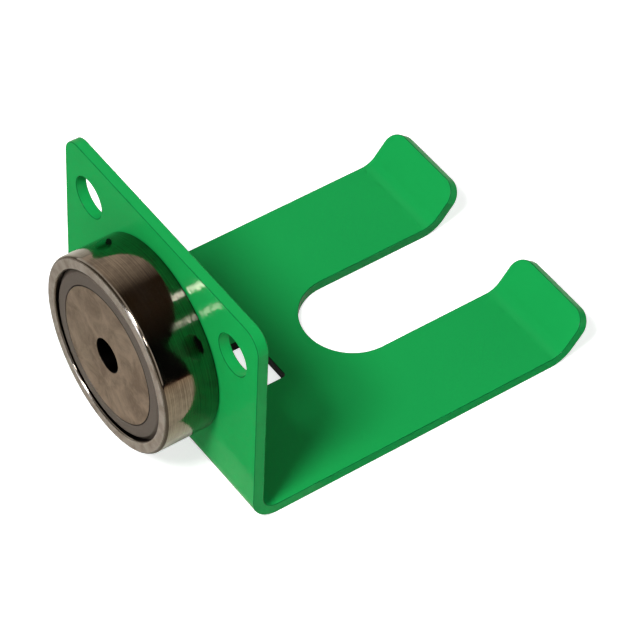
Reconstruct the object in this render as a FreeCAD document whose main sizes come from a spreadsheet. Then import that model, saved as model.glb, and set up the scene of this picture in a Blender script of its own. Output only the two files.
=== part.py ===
import FreeCAD, Part
import math
import os

import Sketcher

# Magnetic hose hanger: a folded sheet-steel fork with a pot magnet on its upright plate.
# The origin is the centre of the magnet's contact face. +Y runs from the magnet along the fork,
# +Z is up, and X is the width of the bracket.

# Driving dimensions in millimetres and degrees
SIZES = {
    # bracket, one folded sheet
    "bracket_width": 76.2,
    "sheet_thickness": 2.8,
    "plate_height": 60.6,
    "plate_corner_radius": 5.0,
    "bend_inner_radius": 4.2,
    "edge_break": 0.25,
    # turned-up tips of the fork, the bend line being where the upper faces would meet
    "tip_bend_line": 87.4,
    "tip_angle": 51.0,
    "tip_length": 11.5,
    "tip_bend_inner_radius": 5.0,
    "tip_corner_radius": 4.5,
    # open slot for the hose
    "slot_width": 25.0,
    "slot_end": 42.0,
    # window in the shelf
    "window_width": 15.0,
    "window_length": 15.0,
    "window_start": 15.4,
    "window_corner_radius": 0.8,
    # screw holes in the upper part of the plate
    "plate_hole_diameter": 10.5,
    "plate_hole_side_margin": 9.525,
    "plate_hole_drop": 12.5,
    # pot magnet
    "magnet_centre_height": 30.0,
    "cup_diameter": 48.6,
    "cup_height": 14.4,
    "cup_wall": 3.2,
    "cup_base": 6.0,
    "cup_face_rounding": 1.0,
    "cup_back_chamfer": 0.4,
    "cup_mouth_chamfer": 0.2,
    "magnet_diameter": 34.4,
    "magnet_bore": 8.5,
    "magnet_recess": 0.5,
    "magnet_chamfer": 0.25,
    "potting_gap": 0.05,
    "potting_groove": 1.1,
    # fixing screw, drawn without its thread
    "screw_diameter": 8.0,
    "screw_length": 12.0,
    "screw_point_chamfer": 1.0,
    "head_across_flats": 13.0,
    "head_height": 5.3,
    "head_chamfer_height": 0.9,
    "thread_clearance": 0.05,
    "plate_bore_clearance": 0.5,
    # washers
    "washer_clearance": 0.2,
    "plain_washer_diameter": 16.0,
    "plain_washer_thickness": 1.6,
    "lock_washer_diameter": 14.8,
    "lock_washer_thickness": 2.0,
    "lock_washer_gap": 1.0,
    "lock_washer_slant": 0.8,
}

# Formulas that are used more than once
HOLE_SPACING = "Sizes.bracket_width - 2 * Sizes.plate_hole_side_margin"
HOLE_HEIGHT = "Sizes.plate_height - Sizes.plate_hole_drop"
TAPPED_RADIUS = "Sizes.screw_diameter / 2 + Sizes.thread_clearance"
CUP_RADIUS = "Sizes.cup_diameter / 2"
MOUTH_RADIUS = "Sizes.cup_diameter / 2 - Sizes.cup_wall"
MAGNET_RADIUS = "Sizes.magnet_diameter / 2"
FLOOR_DEPTH = "Sizes.cup_height - Sizes.cup_base"

# The origin of any sketch, as a constraint names it
ORIGIN_POINT = (-1, 1)

FULL_TURN = 360.0
SHARP_TURN = 10.0  # degrees between two faces from which their edge counts as sharp
NEAR = 1e-4


def make_size_sheet(doc):
    """Writes every driving dimension into the document's sheet, each under its own alias."""
    sheet = doc.addObject("Spreadsheet::Sheet", "Sizes")
    for row, (alias, value) in enumerate(SIZES.items(), start=1):
        sheet.set(f"A{row}", alias)
        sheet.set(f"B{row}", str(value))
        sheet.setAlias(f"B{row}", alias)
    doc.recompute()
    return sheet


def value_of(holder, formula):
    """The number that a formula on the sheet's aliases gives now."""
    return float(holder.evalExpression(formula))


def new_body(doc, label):
    """An empty body whose label names the sub-part's file."""
    body = doc.addObject("PartDesign::Body", label)
    body.Label = label
    return body


def new_sketch(body, name, role):
    """A sketch attached to one of its own body's origin planes."""
    plane = next(item for item in body.Origin.OriginFeatures if item.Role == role)
    sketch = body.newObject("Sketcher::SketchObject", name)
    sketch.AttachmentSupport = (plane, [""])
    sketch.MapMode = "FlatFace"
    return sketch


def add_outline(sketch, points):
    """Joins the points by lines into a closed outline and ties each line's end to the next one's start."""
    count = len(points)
    lines = []
    for index, start in enumerate(points):
        end = points[(index + 1) % count]
        segment = Part.LineSegment(FreeCAD.Vector(*start, 0), FreeCAD.Vector(*end, 0))
        lines.append(sketch.addGeometry(segment, False))
    for index, line in enumerate(lines):
        following = lines[(index + 1) % count]
        sketch.addConstraint(Sketcher.Constraint("Coincident", line, 2, following, 1))
    return lines


def add_circle(sketch, centre, radius):
    """A full circle in the sketch."""
    circle = Part.Circle(FreeCAD.Vector(*centre, 0), FreeCAD.Vector(0, 0, 1), radius)
    return sketch.addGeometry(circle, False)


def tie(sketch, kind, *places):
    """A geometric constraint, which has no size."""
    sketch.addConstraint(Sketcher.Constraint(kind, *places))


def hold_on_base_line(sketch, curve, end):
    """Keeps an end of a curve on the sketch's level axis, which is its geometry -1."""
    tie(sketch, "PointOnObject", curve, end, -1)


def hold_on_centre_line(sketch, curve, end):
    """Keeps an end of a curve on the sketch's upright axis, which is its geometry -2."""
    tie(sketch, "PointOnObject", curve, end, -2)


def mirror_on_centre_line(sketch, left, left_end, right, right_end):
    """Keeps two points mirrored about the sketch's upright axis, which is its geometry -2."""
    tie(sketch, "Symmetric", left, left_end, right, right_end, -2)


def drive(sketch, name, formula, kind, *places):
    """A named dimension whose value follows a formula on the sheet."""
    value = value_of(sketch, formula)
    if kind == "Angle":
        value = math.radians(value)
    index = sketch.addConstraint(Sketcher.Constraint(kind, *places, value))
    sketch.renameConstraint(index, name)
    sketch.setExpression(f"Constraints.{name}", formula)


def pad(body, name, sketch, formula, both_ways=False, backwards=False):
    """Thickens a sketch along its normal."""
    feature = body.newObject("PartDesign::Pad", name)
    feature.Profile = sketch
    feature.SideType = "Symmetric" if both_ways else "One side"
    feature.Reversed = backwards
    feature.setExpression("Length", formula)
    return feature


def pocket(body, name, sketch, formula, both_ways=False, backwards=False):
    """Cuts a sketch out of the body so far, and makes sure that the cut met material."""
    body.Document.recompute()
    volume_before = body.Shape.Volume
    feature = body.newObject("PartDesign::Pocket", name)
    feature.Profile = sketch
    feature.SideType = "Symmetric" if both_ways else "One side"
    feature.Reversed = backwards
    feature.setExpression("Length", formula)
    body.Document.recompute()
    if volume_before - body.Shape.Volume < NEAR:
        raise RuntimeError(f"{body.Label}: {name} cut nothing")
    return feature


def revolve(body, name, sketch, kind="PartDesign::Revolution"):
    """Turns a half section about the sketch's upright axis."""
    feature = body.newObject(kind, name)
    feature.Profile = sketch
    feature.ReferenceAxis = (sketch, ["V_Axis"])
    feature.Angle = FULL_TURN
    return feature


def dress_edges(body, kind, name, test, size_property, formula):
    """Rounds or chamfers every edge of the body so far that passes the test."""
    body.Document.recompute()
    base = body.Tip
    edges = base.Shape.Edges
    chosen = [f"Edge{index}" for index, edge in enumerate(edges, start=1) if test(base.Shape, edge)]
    if not chosen:
        raise RuntimeError(f"{body.Label}: {name} found no edge")
    feature = body.newObject(kind, name)
    feature.Base = (base, chosen)
    feature.setExpression(size_property, formula)
    return feature


def round_edges(body, name, test, formula):
    """A fillet on the edges that pass the test."""
    return dress_edges(body, "PartDesign::Fillet", name, test, "Radius", formula)


def chamfer_edges(body, name, test, formula):
    """A chamfer on the edges that pass the test."""
    return dress_edges(body, "PartDesign::Chamfer", name, test, "Size", formula)


def middle_of(edge):
    """The point half way along an edge."""
    return edge.valueAt((edge.FirstParameter + edge.LastParameter) / 2)


def is_straight_along(edge, direction):
    """Whether the edge is a line parallel to the direction."""
    if not isinstance(edge.Curve, Part.Line):
        return False
    return abs(abs(edge.Curve.Direction.dot(direction)) - 1) < NEAR


def crossing_edge_at(y, z):
    """Test for a straight edge across the width at a height and a depth."""
    def test(shape, edge):
        if not is_straight_along(edge, FreeCAD.Vector(1, 0, 0)):
            return False
        middle = middle_of(edge)
        return math.hypot(middle.y - y, middle.z - z) < NEAR
    return test


def circle_at(radius, y):
    """Test for a full circle about the Y axis with a radius, at a place along the axis."""
    def test(shape, edge):
        if not isinstance(edge.Curve, Part.Circle):
            return False
        return abs(edge.Curve.Radius - radius) < NEAR and abs(edge.Curve.Center.y - y) < NEAR
    return test


def is_sharp(shape, edge):
    """Test for an edge at which the two faces beside it meet at an angle."""
    faces = shape.ancestorsOfType(edge, Part.Face)
    if len(faces) != 2:
        return False
    point = middle_of(edge)
    normals = [face.normalAt(*face.Surface.parameter(point)) for face in faces]
    return math.degrees(normals[0].getAngle(normals[1])) > SHARP_TURN


def draw_side_profile(body):
    """Side view of the sheet with square corners: plate, shelf and slanting tip."""
    sketch = new_sketch(body, "side_profile", "YZ_Plane")
    thickness = value_of(sketch, "Sizes.sheet_thickness")
    height = value_of(sketch, "Sizes.plate_height")
    bend_line = value_of(sketch, "Sizes.tip_bend_line")
    length = value_of(sketch, "Sizes.tip_length")
    angle = math.radians(value_of(sketch, "Sizes.tip_angle"))
    along = (math.cos(angle), math.sin(angle))
    across = (math.sin(angle), -math.cos(angle))
    tip_top = (bend_line + length * along[0], thickness + length * along[1])
    tip_low = (tip_top[0] + thickness * across[0], tip_top[1] + thickness * across[1])
    outer_bend = (bend_line + thickness * math.tan(angle / 2), 0)
    outer, top, inner, shelf, slope, end, under, base = add_outline(sketch, [
        (0, 0),
        (0, height),
        (thickness, height),
        (thickness, thickness),
        (bend_line, thickness),
        tip_top,
        tip_low,
        outer_bend,
    ])
    tie(sketch, "Coincident", outer, 1, *ORIGIN_POINT)
    tie(sketch, "Vertical", outer)
    tie(sketch, "Horizontal", top)
    tie(sketch, "Vertical", inner)
    tie(sketch, "Horizontal", shelf)
    tie(sketch, "Horizontal", base)
    tie(sketch, "Perpendicular", slope, end)
    tie(sketch, "Parallel", slope, under)
    drive(sketch, "plate_height", "Sizes.plate_height", "DistanceY", outer, 1, outer, 2)
    drive(sketch, "plate_thickness", "Sizes.sheet_thickness", "DistanceX", top, 1, top, 2)
    drive(sketch, "shelf_thickness", "Sizes.sheet_thickness", "DistanceY", *ORIGIN_POINT, shelf, 1)
    drive(sketch, "tip_bend_line", "Sizes.tip_bend_line", "DistanceX", *ORIGIN_POINT, slope, 1)
    drive(sketch, "tip_angle", "Sizes.tip_angle", "Angle", slope)
    drive(sketch, "tip_length", "Sizes.tip_length", "Distance", slope)
    drive(sketch, "tip_thickness", "Sizes.sheet_thickness", "Distance", end)
    return sketch


def draw_slot(body):
    """The hose slot: a half circle at its closed end, and open past the tips."""
    sketch = new_sketch(body, "slot_outline", "XY_Plane")
    half_width = value_of(sketch, "Sizes.slot_width / 2")
    centre_y = value_of(sketch, "Sizes.slot_end + Sizes.slot_width / 2")
    past_tips = "Sizes.tip_bend_line + Sizes.tip_length + 2 * Sizes.sheet_thickness"
    open_y = value_of(sketch, past_tips)
    circle = Part.Circle(FreeCAD.Vector(0, centre_y, 0), FreeCAD.Vector(0, 0, 1), half_width)
    arc = sketch.addGeometry(Part.ArcOfCircle(circle, math.pi, 2 * math.pi), False)
    corners = [(half_width, centre_y), (half_width, open_y), (-half_width, open_y), (-half_width, centre_y)]
    sides = []
    for start, end in zip(corners, corners[1:]):
        segment = Part.LineSegment(FreeCAD.Vector(*start, 0), FreeCAD.Vector(*end, 0))
        sides.append(sketch.addGeometry(segment, False))
    right, mouth, left = sides
    tie(sketch, "Tangent", arc, 2, right, 1)
    tie(sketch, "Coincident", right, 2, mouth, 1)
    tie(sketch, "Coincident", mouth, 2, left, 1)
    tie(sketch, "Tangent", left, 2, arc, 1)
    tie(sketch, "Vertical", right)
    tie(sketch, "Horizontal", mouth)
    hold_on_centre_line(sketch, arc, 3)
    drive(sketch, "half_width", "Sizes.slot_width / 2", "Radius", arc)
    drive(sketch, "centre", "Sizes.slot_end + Sizes.slot_width / 2", "DistanceY", *ORIGIN_POINT, arc, 3)
    drive(sketch, "open_end", past_tips, "DistanceY", *ORIGIN_POINT, mouth, 1)
    return sketch


def draw_window(body):
    """The rectangular window in the shelf, centred on the width."""
    sketch = new_sketch(body, "window_outline", "XY_Plane")
    half_width = value_of(sketch, "Sizes.window_width / 2")
    start = value_of(sketch, "Sizes.window_start")
    end = value_of(sketch, "Sizes.window_start + Sizes.window_length")
    near, right, far, left = add_outline(sketch, [
        (-half_width, start),
        (half_width, start),
        (half_width, end),
        (-half_width, end),
    ])
    tie(sketch, "Horizontal", far)
    tie(sketch, "Vertical", right)
    tie(sketch, "Vertical", left)
    mirror_on_centre_line(sketch, near, 1, near, 2)
    drive(sketch, "width", "Sizes.window_width", "DistanceX", near, 1, near, 2)
    drive(sketch, "start", "Sizes.window_start", "DistanceY", *ORIGIN_POINT, near, 1)
    drive(sketch, "length", "Sizes.window_length", "DistanceY", right, 1, right, 2)
    return sketch


def draw_plate_holes(body):
    """Two screw holes high in the plate, and the bore for the magnet's fixing screw."""
    sketch = new_sketch(body, "plate_holes", "XZ_Plane")
    half_spacing = value_of(sketch, HOLE_SPACING) / 2
    hole_height = value_of(sketch, HOLE_HEIGHT)
    hole_radius = value_of(sketch, "Sizes.plate_hole_diameter / 2")
    bore_height = value_of(sketch, "Sizes.magnet_centre_height")
    bore_radius = value_of(sketch, "Sizes.screw_diameter / 2 + Sizes.plate_bore_clearance")
    left = add_circle(sketch, (-half_spacing, hole_height), hole_radius)
    right = add_circle(sketch, (half_spacing, hole_height), hole_radius)
    bore = add_circle(sketch, (0, bore_height), bore_radius)
    mirror_on_centre_line(sketch, left, 3, right, 3)
    tie(sketch, "Equal", left, right)
    hold_on_centre_line(sketch, bore, 3)
    drive(sketch, "spacing", HOLE_SPACING, "DistanceX", left, 3, right, 3)
    drive(sketch, "height", HOLE_HEIGHT, "DistanceY", *ORIGIN_POINT, left, 3)
    drive(sketch, "diameter", "Sizes.plate_hole_diameter", "Diameter", left)
    drive(sketch, "bore_height", "Sizes.magnet_centre_height", "DistanceY", *ORIGIN_POINT, bore, 3)
    drive(sketch, "bore_radius", "Sizes.screw_diameter / 2 + Sizes.plate_bore_clearance", "Radius", bore)
    return sketch


def make_bracket(doc):
    """The folded sheet: plate, 90 degree bend, shelf with window and slot, and two turned-up tips."""
    body = new_body(doc, "bracket")
    pad(body, "folded_sheet", draw_side_profile(body), "Sizes.bracket_width", both_ways=True)
    thickness = value_of(body, "Sizes.sheet_thickness")
    bend_line = value_of(body, "Sizes.tip_bend_line")
    tip_angle = math.radians(value_of(body, "Sizes.tip_angle"))
    outer_tip_line = bend_line + thickness * math.tan(tip_angle / 2)

    inner_radius = "Sizes.bend_inner_radius"
    tip_radius = "Sizes.tip_bend_inner_radius"
    round_edges(body, "bend_inside", crossing_edge_at(thickness, thickness), inner_radius)
    round_edges(body, "bend_outside", crossing_edge_at(0, 0), f"{inner_radius} + Sizes.sheet_thickness")
    round_edges(body, "tip_bend_inside", crossing_edge_at(bend_line, thickness), tip_radius)
    outside_radius = f"{tip_radius} + Sizes.sheet_thickness"
    round_edges(body, "tip_bend_outside", crossing_edge_at(outer_tip_line, 0), outside_radius)

    tip_top = "2 * (Sizes.tip_length + 2 * Sizes.sheet_thickness)"
    pocket(body, "hose_slot", draw_slot(body), tip_top, both_ways=True)
    pocket(body, "shelf_window", draw_window(body), "2 * Sizes.sheet_thickness", both_ways=True)
    pocket(body, "plate_bores", draw_plate_holes(body), "Sizes.sheet_thickness")

    plate_height = value_of(body, "Sizes.plate_height")
    through_sheet = FreeCAD.Vector(0, 1, 0)
    through_tip = FreeCAD.Vector(0, math.sin(tip_angle), -math.cos(tip_angle))

    def is_plate_corner(shape, edge):
        return is_straight_along(edge, through_sheet) and abs(middle_of(edge).z - plate_height) < NEAR

    def is_tip_corner(shape, edge):
        return is_straight_along(edge, through_tip)

    def is_window_corner(shape, edge):
        return is_straight_along(edge, FreeCAD.Vector(0, 0, 1)) and edge.Length < thickness + NEAR

    round_edges(body, "plate_corners", is_plate_corner, "Sizes.plate_corner_radius")
    round_edges(body, "tip_corners", is_tip_corner, "Sizes.tip_corner_radius")
    round_edges(body, "window_corners", is_window_corner, "Sizes.window_corner_radius")
    chamfer_edges(body, "broken_edges", is_sharp, "Sizes.edge_break")

    body.setExpression("Placement.Base.y", "Sizes.cup_height")
    body.setExpression("Placement.Base.z", "-Sizes.magnet_centre_height")
    return body


def draw_ring_section(body, name, inner, outer, front, back):
    """Half section of a ring about the Y axis, from four formulas on the sheet."""
    sketch = new_sketch(body, name, "XY_Plane")
    inner_now = value_of(sketch, inner)
    outer_now = value_of(sketch, outer)
    front_now = value_of(sketch, front)
    back_now = value_of(sketch, back)
    face, rim, rear, bore = add_outline(sketch, [
        (inner_now, front_now),
        (outer_now, front_now),
        (outer_now, back_now),
        (inner_now, back_now),
    ])
    tie(sketch, "Horizontal", face)
    tie(sketch, "Vertical", rim)
    tie(sketch, "Horizontal", rear)
    tie(sketch, "Vertical", bore)
    drive(sketch, "inner_radius", inner, "DistanceX", *ORIGIN_POINT, face, 1)
    drive(sketch, "outer_radius", outer, "DistanceX", *ORIGIN_POINT, face, 2)
    drive(sketch, "front", front, "DistanceY", *ORIGIN_POINT, face, 1)
    drive(sketch, "back", back, "DistanceY", *ORIGIN_POINT, rear, 1)
    return sketch


def make_magnet_cup(doc):
    """The steel pot: thick base with a tapped bore, and a rim that stands proud of the magnet."""
    body = new_body(doc, "magnet_cup")
    sketch = new_sketch(body, "cup_section", "XY_Plane")
    tapped = value_of(sketch, TAPPED_RADIUS)
    outer = value_of(sketch, CUP_RADIUS)
    mouth = value_of(sketch, MOUTH_RADIUS)
    floor = value_of(sketch, FLOOR_DEPTH)
    back = value_of(sketch, "Sizes.cup_height")
    rim, inner_wall, cup_floor, bore, rear, side = add_outline(sketch, [
        (outer, 0),
        (mouth, 0),
        (mouth, floor),
        (tapped, floor),
        (tapped, back),
        (outer, back),
    ])
    for line in (rim, cup_floor, rear):
        tie(sketch, "Horizontal", line)
    for line in (inner_wall, bore, side):
        tie(sketch, "Vertical", line)
    hold_on_base_line(sketch, rim, 1)
    drive(sketch, "cup_radius", CUP_RADIUS, "DistanceX", *ORIGIN_POINT, rim, 1)
    drive(sketch, "mouth_radius", MOUTH_RADIUS, "DistanceX", *ORIGIN_POINT, rim, 2)
    drive(sketch, "tapped_radius", TAPPED_RADIUS, "DistanceX", *ORIGIN_POINT, bore, 1)
    drive(sketch, "floor_depth", FLOOR_DEPTH, "DistanceY", *ORIGIN_POINT, cup_floor, 1)
    drive(sketch, "cup_height", "Sizes.cup_height", "DistanceY", *ORIGIN_POINT, rear, 1)
    revolve(body, "pot", sketch)
    round_edges(body, "face_edge", circle_at(outer, 0), "Sizes.cup_face_rounding")
    chamfer_edges(body, "back_edge", circle_at(outer, back), "Sizes.cup_back_chamfer")
    chamfer_edges(body, "mouth_edge", circle_at(mouth, 0), "Sizes.cup_mouth_chamfer")
    return body


def make_magnet_disc(doc):
    """The ring magnet, seated on the cup's floor a little below the rim."""
    body = new_body(doc, "magnet_disc")
    bore = "Sizes.magnet_bore / 2"
    section = draw_ring_section(body, "disc_section", bore, MAGNET_RADIUS, "Sizes.magnet_recess", FLOOR_DEPTH)
    revolve(body, "ring_magnet", section)
    recess = value_of(body, "Sizes.magnet_recess")
    bore_radius = value_of(body, bore)
    magnet_radius = value_of(body, MAGNET_RADIUS)
    chamfer_edges(body, "outer_edge", circle_at(magnet_radius, recess), "Sizes.magnet_chamfer")
    chamfer_edges(body, "bore_edge", circle_at(bore_radius, recess), "Sizes.magnet_chamfer")
    return body


def make_potting_ring(doc):
    """The resin round the magnet, level with its face, which drew back from the cup as it set."""
    body = new_body(doc, "potting_ring")
    inner = f"{MAGNET_RADIUS} + Sizes.potting_gap"
    outer = f"{MOUTH_RADIUS} - Sizes.potting_gap"
    section = draw_ring_section(body, "resin_section", inner, outer, "Sizes.magnet_recess", FLOOR_DEPTH)
    revolve(body, "resin", section)
    face_edge = circle_at(value_of(body, outer), value_of(body, "Sizes.magnet_recess"))
    chamfer_edges(body, "groove", face_edge, "Sizes.potting_groove")
    return body


def draw_hexagon(body):
    """Outline of the screw's head, with two of its flats upright."""
    sketch = new_sketch(body, "head_outline", "XZ_Plane")
    flats = value_of(sketch, "Sizes.head_across_flats")
    corner = flats / 2 / math.cos(math.pi / 6)
    turns = [math.pi / 6 + index * math.pi / 3 for index in range(6)]
    sides = add_outline(sketch, [(corner * math.cos(turn), corner * math.sin(turn)) for turn in turns])
    ring = sketch.addGeometry(Part.Circle(FreeCAD.Vector(0, 0, 0), FreeCAD.Vector(0, 0, 1), corner), True)
    tie(sketch, "Coincident", ring, 3, *ORIGIN_POINT)
    for side in sides:
        tie(sketch, "PointOnObject", side, 1, ring)
    for side in sides[1:]:
        tie(sketch, "Equal", sides[0], side)
    upright_left = sides[2]
    upright_right = sides[5]
    tie(sketch, "Vertical", upright_right)
    drive(sketch, "across_flats", "Sizes.head_across_flats", "DistanceX", upright_left, 1, upright_right, 2)
    return sketch


def draw_head_chamfer(body):
    """Triangle that turns the corners off the head's outer end, at 30 degrees to its face."""
    sketch = new_sketch(body, "head_chamfer_section", "XY_Plane")
    top = value_of(sketch, "Sizes.head_height")
    corner = "Sizes.head_across_flats / 2 / cos(30)"
    edge_now = value_of(sketch, corner)
    drop = value_of(sketch, "Sizes.head_chamfer_height")
    run = drop * math.tan(math.pi / 3)
    slope, side, face = add_outline(sketch, [
        (edge_now - run, top),
        (edge_now, top - drop),
        (edge_now, top),
    ])
    tie(sketch, "Vertical", side)
    tie(sketch, "Horizontal", face)
    drive(sketch, "corner_radius", corner, "DistanceX", *ORIGIN_POINT, side, 2)
    drive(sketch, "head_height", "Sizes.head_height", "DistanceY", *ORIGIN_POINT, side, 2)
    drive(sketch, "drop", "Sizes.head_chamfer_height", "DistanceY", side, 1, side, 2)
    drive(sketch, "run", "Sizes.head_chamfer_height * tan(60)", "DistanceX", slope, 1, side, 2)
    return sketch


def make_fixing_screw(doc):
    """Hexagon screw that goes through both washers and the plate into the cup's base."""
    body = new_body(doc, "fixing_screw")
    pad(body, "head", draw_hexagon(body), "Sizes.head_height", backwards=True)
    shank = new_sketch(body, "shank_outline", "XZ_Plane")
    shank_radius = value_of(shank, "Sizes.screw_diameter / 2")
    ring = add_circle(shank, (0, 0), shank_radius)
    tie(shank, "Coincident", ring, 3, *ORIGIN_POINT)
    drive(shank, "diameter", "Sizes.screw_diameter", "Diameter", ring)
    pad(body, "shank", shank, "Sizes.screw_length")
    body.Document.recompute()
    revolve(body, "head_corners", draw_head_chamfer(body), "PartDesign::Groove")
    point = -value_of(body, "Sizes.screw_length")
    chamfer_edges(body, "point", circle_at(shank_radius, point), "Sizes.screw_point_chamfer")
    seat = "Sizes.cup_height + Sizes.sheet_thickness + Sizes.plain_washer_thickness + Sizes.lock_washer_thickness"
    body.setExpression("Placement.Base.y", seat)
    return body


def make_plain_washer(doc):
    """Flat washer on the plate's fork side."""
    body = new_body(doc, "plain_washer")
    bore = "Sizes.screw_diameter / 2 + Sizes.washer_clearance"
    outer = "Sizes.plain_washer_diameter / 2"
    thickness = "Sizes.plain_washer_thickness"
    revolve(body, "disc", draw_ring_section(body, "washer_section", bore, outer, "0", thickness))
    body.setExpression("Placement.Base.y", "Sizes.cup_height + Sizes.sheet_thickness")
    return body


def draw_washer_gap(body):
    """The slanting gap that splits the spring washer, seen along the washer's radius."""
    sketch = new_sketch(body, "gap_outline", "XY_Plane")
    thickness = value_of(sketch, "Sizes.lock_washer_thickness")
    gap = value_of(sketch, "Sizes.lock_washer_gap")
    slant = value_of(sketch, "Sizes.lock_washer_slant")
    front, right, back, left = add_outline(sketch, [
        (-(gap + slant) / 2, 0),
        ((gap - slant) / 2, 0),
        ((gap + slant) / 2, thickness),
        ((slant - gap) / 2, thickness),
    ])
    hold_on_base_line(sketch, front, 1)
    tie(sketch, "Horizontal", front)
    tie(sketch, "Horizontal", back)
    tie(sketch, "Parallel", right, left)
    drive(sketch, "gap", "Sizes.lock_washer_gap", "DistanceX", front, 1, front, 2)
    drive(sketch, "slant", "Sizes.lock_washer_slant", "DistanceX", front, 1, left, 1)
    drive(sketch, "offset", "(Sizes.lock_washer_gap + Sizes.lock_washer_slant) / 2", "DistanceX",
          front, 1, *ORIGIN_POINT)
    drive(sketch, "thickness", "Sizes.lock_washer_thickness", "DistanceY", *ORIGIN_POINT, right, 2)
    return sketch


def make_lock_washer(doc):
    """Split spring washer between the plain washer and the screw's head, pressed flat."""
    body = new_body(doc, "lock_washer")
    bore = "Sizes.screw_diameter / 2 + Sizes.washer_clearance"
    outer = "Sizes.lock_washer_diameter / 2"
    thickness = "Sizes.lock_washer_thickness"
    revolve(body, "ring", draw_ring_section(body, "ring_section", bore, outer, "0", thickness))
    pocket(body, "gap", draw_washer_gap(body), "Sizes.lock_washer_diameter", backwards=True)
    seat = "Sizes.cup_height + Sizes.sheet_thickness + Sizes.plain_washer_thickness"
    body.setExpression("Placement.Base.y", seat)
    return body


def check_document(doc, bodies):
    """Stops with a message if any object failed or any sub-part isn't one sound solid."""
    for item in doc.Objects:
        failed = {"Invalid", "Error"} & set(item.State)
        if failed:
            raise RuntimeError(f"{item.Name} failed: {item.State}")
    for body in bodies:
        shape = body.Shape
        if shape.isNull() or not shape.isValid() or len(shape.Solids) != 1:
            raise RuntimeError(f"{body.Label} is not one valid solid")


def main():
    doc = FreeCAD.newDocument("hose_hanger")
    make_size_sheet(doc)
    bodies = [
        make_bracket(doc),
        make_magnet_cup(doc),
        make_magnet_disc(doc),
        make_potting_ring(doc),
        make_fixing_screw(doc),
        make_plain_washer(doc),
        make_lock_washer(doc),
    ]
    doc.recompute()
    check_document(doc, bodies)
    os.makedirs("parts", exist_ok=True)
    for body in bodies:
        body.Shape.exportStep(f"parts/{body.Label}.step")
        print(f"{body.Label}: {body.Shape.Volume:.1f} mm3")


main()
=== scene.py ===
"""Looks of the magnetic hose hanger: a folded, powder-coated steel fork on a pot magnet.

Every length is in millimetres in the row frame until a mesh is made, and in metres after that.
The origin is the centre of the magnet's contact face, +Y runs along the fork and +Z is up.
"""

import logging
import math
from collections.abc import Mapping, Sequence
from dataclasses import dataclass, field
from enum import Enum
from typing import Any

import bpy
from mathutils import Matrix, Vector
from mathutils.geometry import delaunay_2d_cdt


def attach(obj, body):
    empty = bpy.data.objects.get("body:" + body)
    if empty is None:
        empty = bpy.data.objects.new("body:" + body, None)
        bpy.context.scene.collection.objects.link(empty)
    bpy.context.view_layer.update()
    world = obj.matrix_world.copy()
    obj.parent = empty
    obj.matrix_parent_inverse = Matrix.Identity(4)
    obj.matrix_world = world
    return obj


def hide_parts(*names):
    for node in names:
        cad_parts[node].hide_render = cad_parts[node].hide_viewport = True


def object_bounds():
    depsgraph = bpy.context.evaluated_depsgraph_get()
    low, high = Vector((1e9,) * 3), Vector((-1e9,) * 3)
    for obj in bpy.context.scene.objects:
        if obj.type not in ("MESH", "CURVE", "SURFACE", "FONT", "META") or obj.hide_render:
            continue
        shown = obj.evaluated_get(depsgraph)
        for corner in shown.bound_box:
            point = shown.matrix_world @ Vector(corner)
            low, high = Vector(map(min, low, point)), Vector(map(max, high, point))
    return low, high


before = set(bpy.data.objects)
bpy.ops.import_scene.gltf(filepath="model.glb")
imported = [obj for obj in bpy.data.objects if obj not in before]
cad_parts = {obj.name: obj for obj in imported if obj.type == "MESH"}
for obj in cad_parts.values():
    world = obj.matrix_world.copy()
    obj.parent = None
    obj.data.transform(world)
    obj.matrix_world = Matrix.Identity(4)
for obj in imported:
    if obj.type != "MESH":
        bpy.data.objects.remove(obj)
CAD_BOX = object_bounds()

LOG = logging.getLogger("hose_hanger")

MM = 0.001
BODY = "root"
PHOTO_PIXELS = 640

# Places of the sockets of a colour Mix node, whose names repeat.
MIX_FACTOR, MIX_FIRST, MIX_SECOND, MIX_RESULT = 0, 6, 7, 2

# The kind of fill that keeps only the triangles inside the outer edge.
TRIANGLES_INSIDE = 1

# Millimetres within which two points of an outline count as one, a point lies on a station of
# the sheet, and a point belongs to a wall.
SAME_POINT = 1e-4
SAME_STATION = 1e-6
AT_WALL = 0.01

# A side of an outline takes points of its own where it runs more than this many millimetres
# along the sheet, and between these shares of its length.
LEAST_RUN = 0.01
SIDE_SHARES = (0.01, 0.99)

# Fewest steps that round a corner.
LEAST_ARC_STEPS = 2

# How closely the fill of a face keeps to its outline, in millimetres.
FILL_TOLERANCE = 1e-7

# Point attributes of the sheet: the dark line along a rounded edge, with painted shade on the
# outer and slot walls, and the painted shade of the window's walls.
EDGE_AND_SHADE_MASK = "edge_line_and_wall_shade"
WINDOW_SHADE_MASK = "window_wall_shade"

# What a Map Range node gives when it falls from one to nothing over its span.
FALLING = {"To Min": 1.0, "To Max": 0.0}

WHITE = "#FFFFFF"

# The two ends of a span, and a place in metres.
Span = tuple[float, float]
Place = tuple[float, float, float]


class Slot(Enum):
    """Names of material slots, one listed with each turned piece; nothing here reads them."""

    POWDER_COAT = "green_powder_coat"
    NICKEL = "nickel_plate"
    MAGNET = "nickel_magnet"
    RESIN = "grey_resin"
    ZINC = "zinc_plate"


def linear(colour: str) -> tuple[float, float, float, float]:
    """Turns an sRGB hex colour into the linear colour that a shader takes.

    Args:
        colour: Six hex digits after a hash sign.

    Returns:
        Red, green, blue and an alpha of 1.
    """
    parts = [int(colour[start : start + 2], 16) / 255 for start in (1, 3, 5)]
    red, green, blue = (
        part / 12.92 if part <= 0.04045 else ((part + 0.055) / 1.055) ** 2.4 for part in parts
    )
    return red, green, blue, 1.0


def per_metre(period_mm: float) -> float:
    """Gives a texture's scale from the real size of its pattern in millimetres."""
    return 1 / (period_mm * MM)


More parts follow.
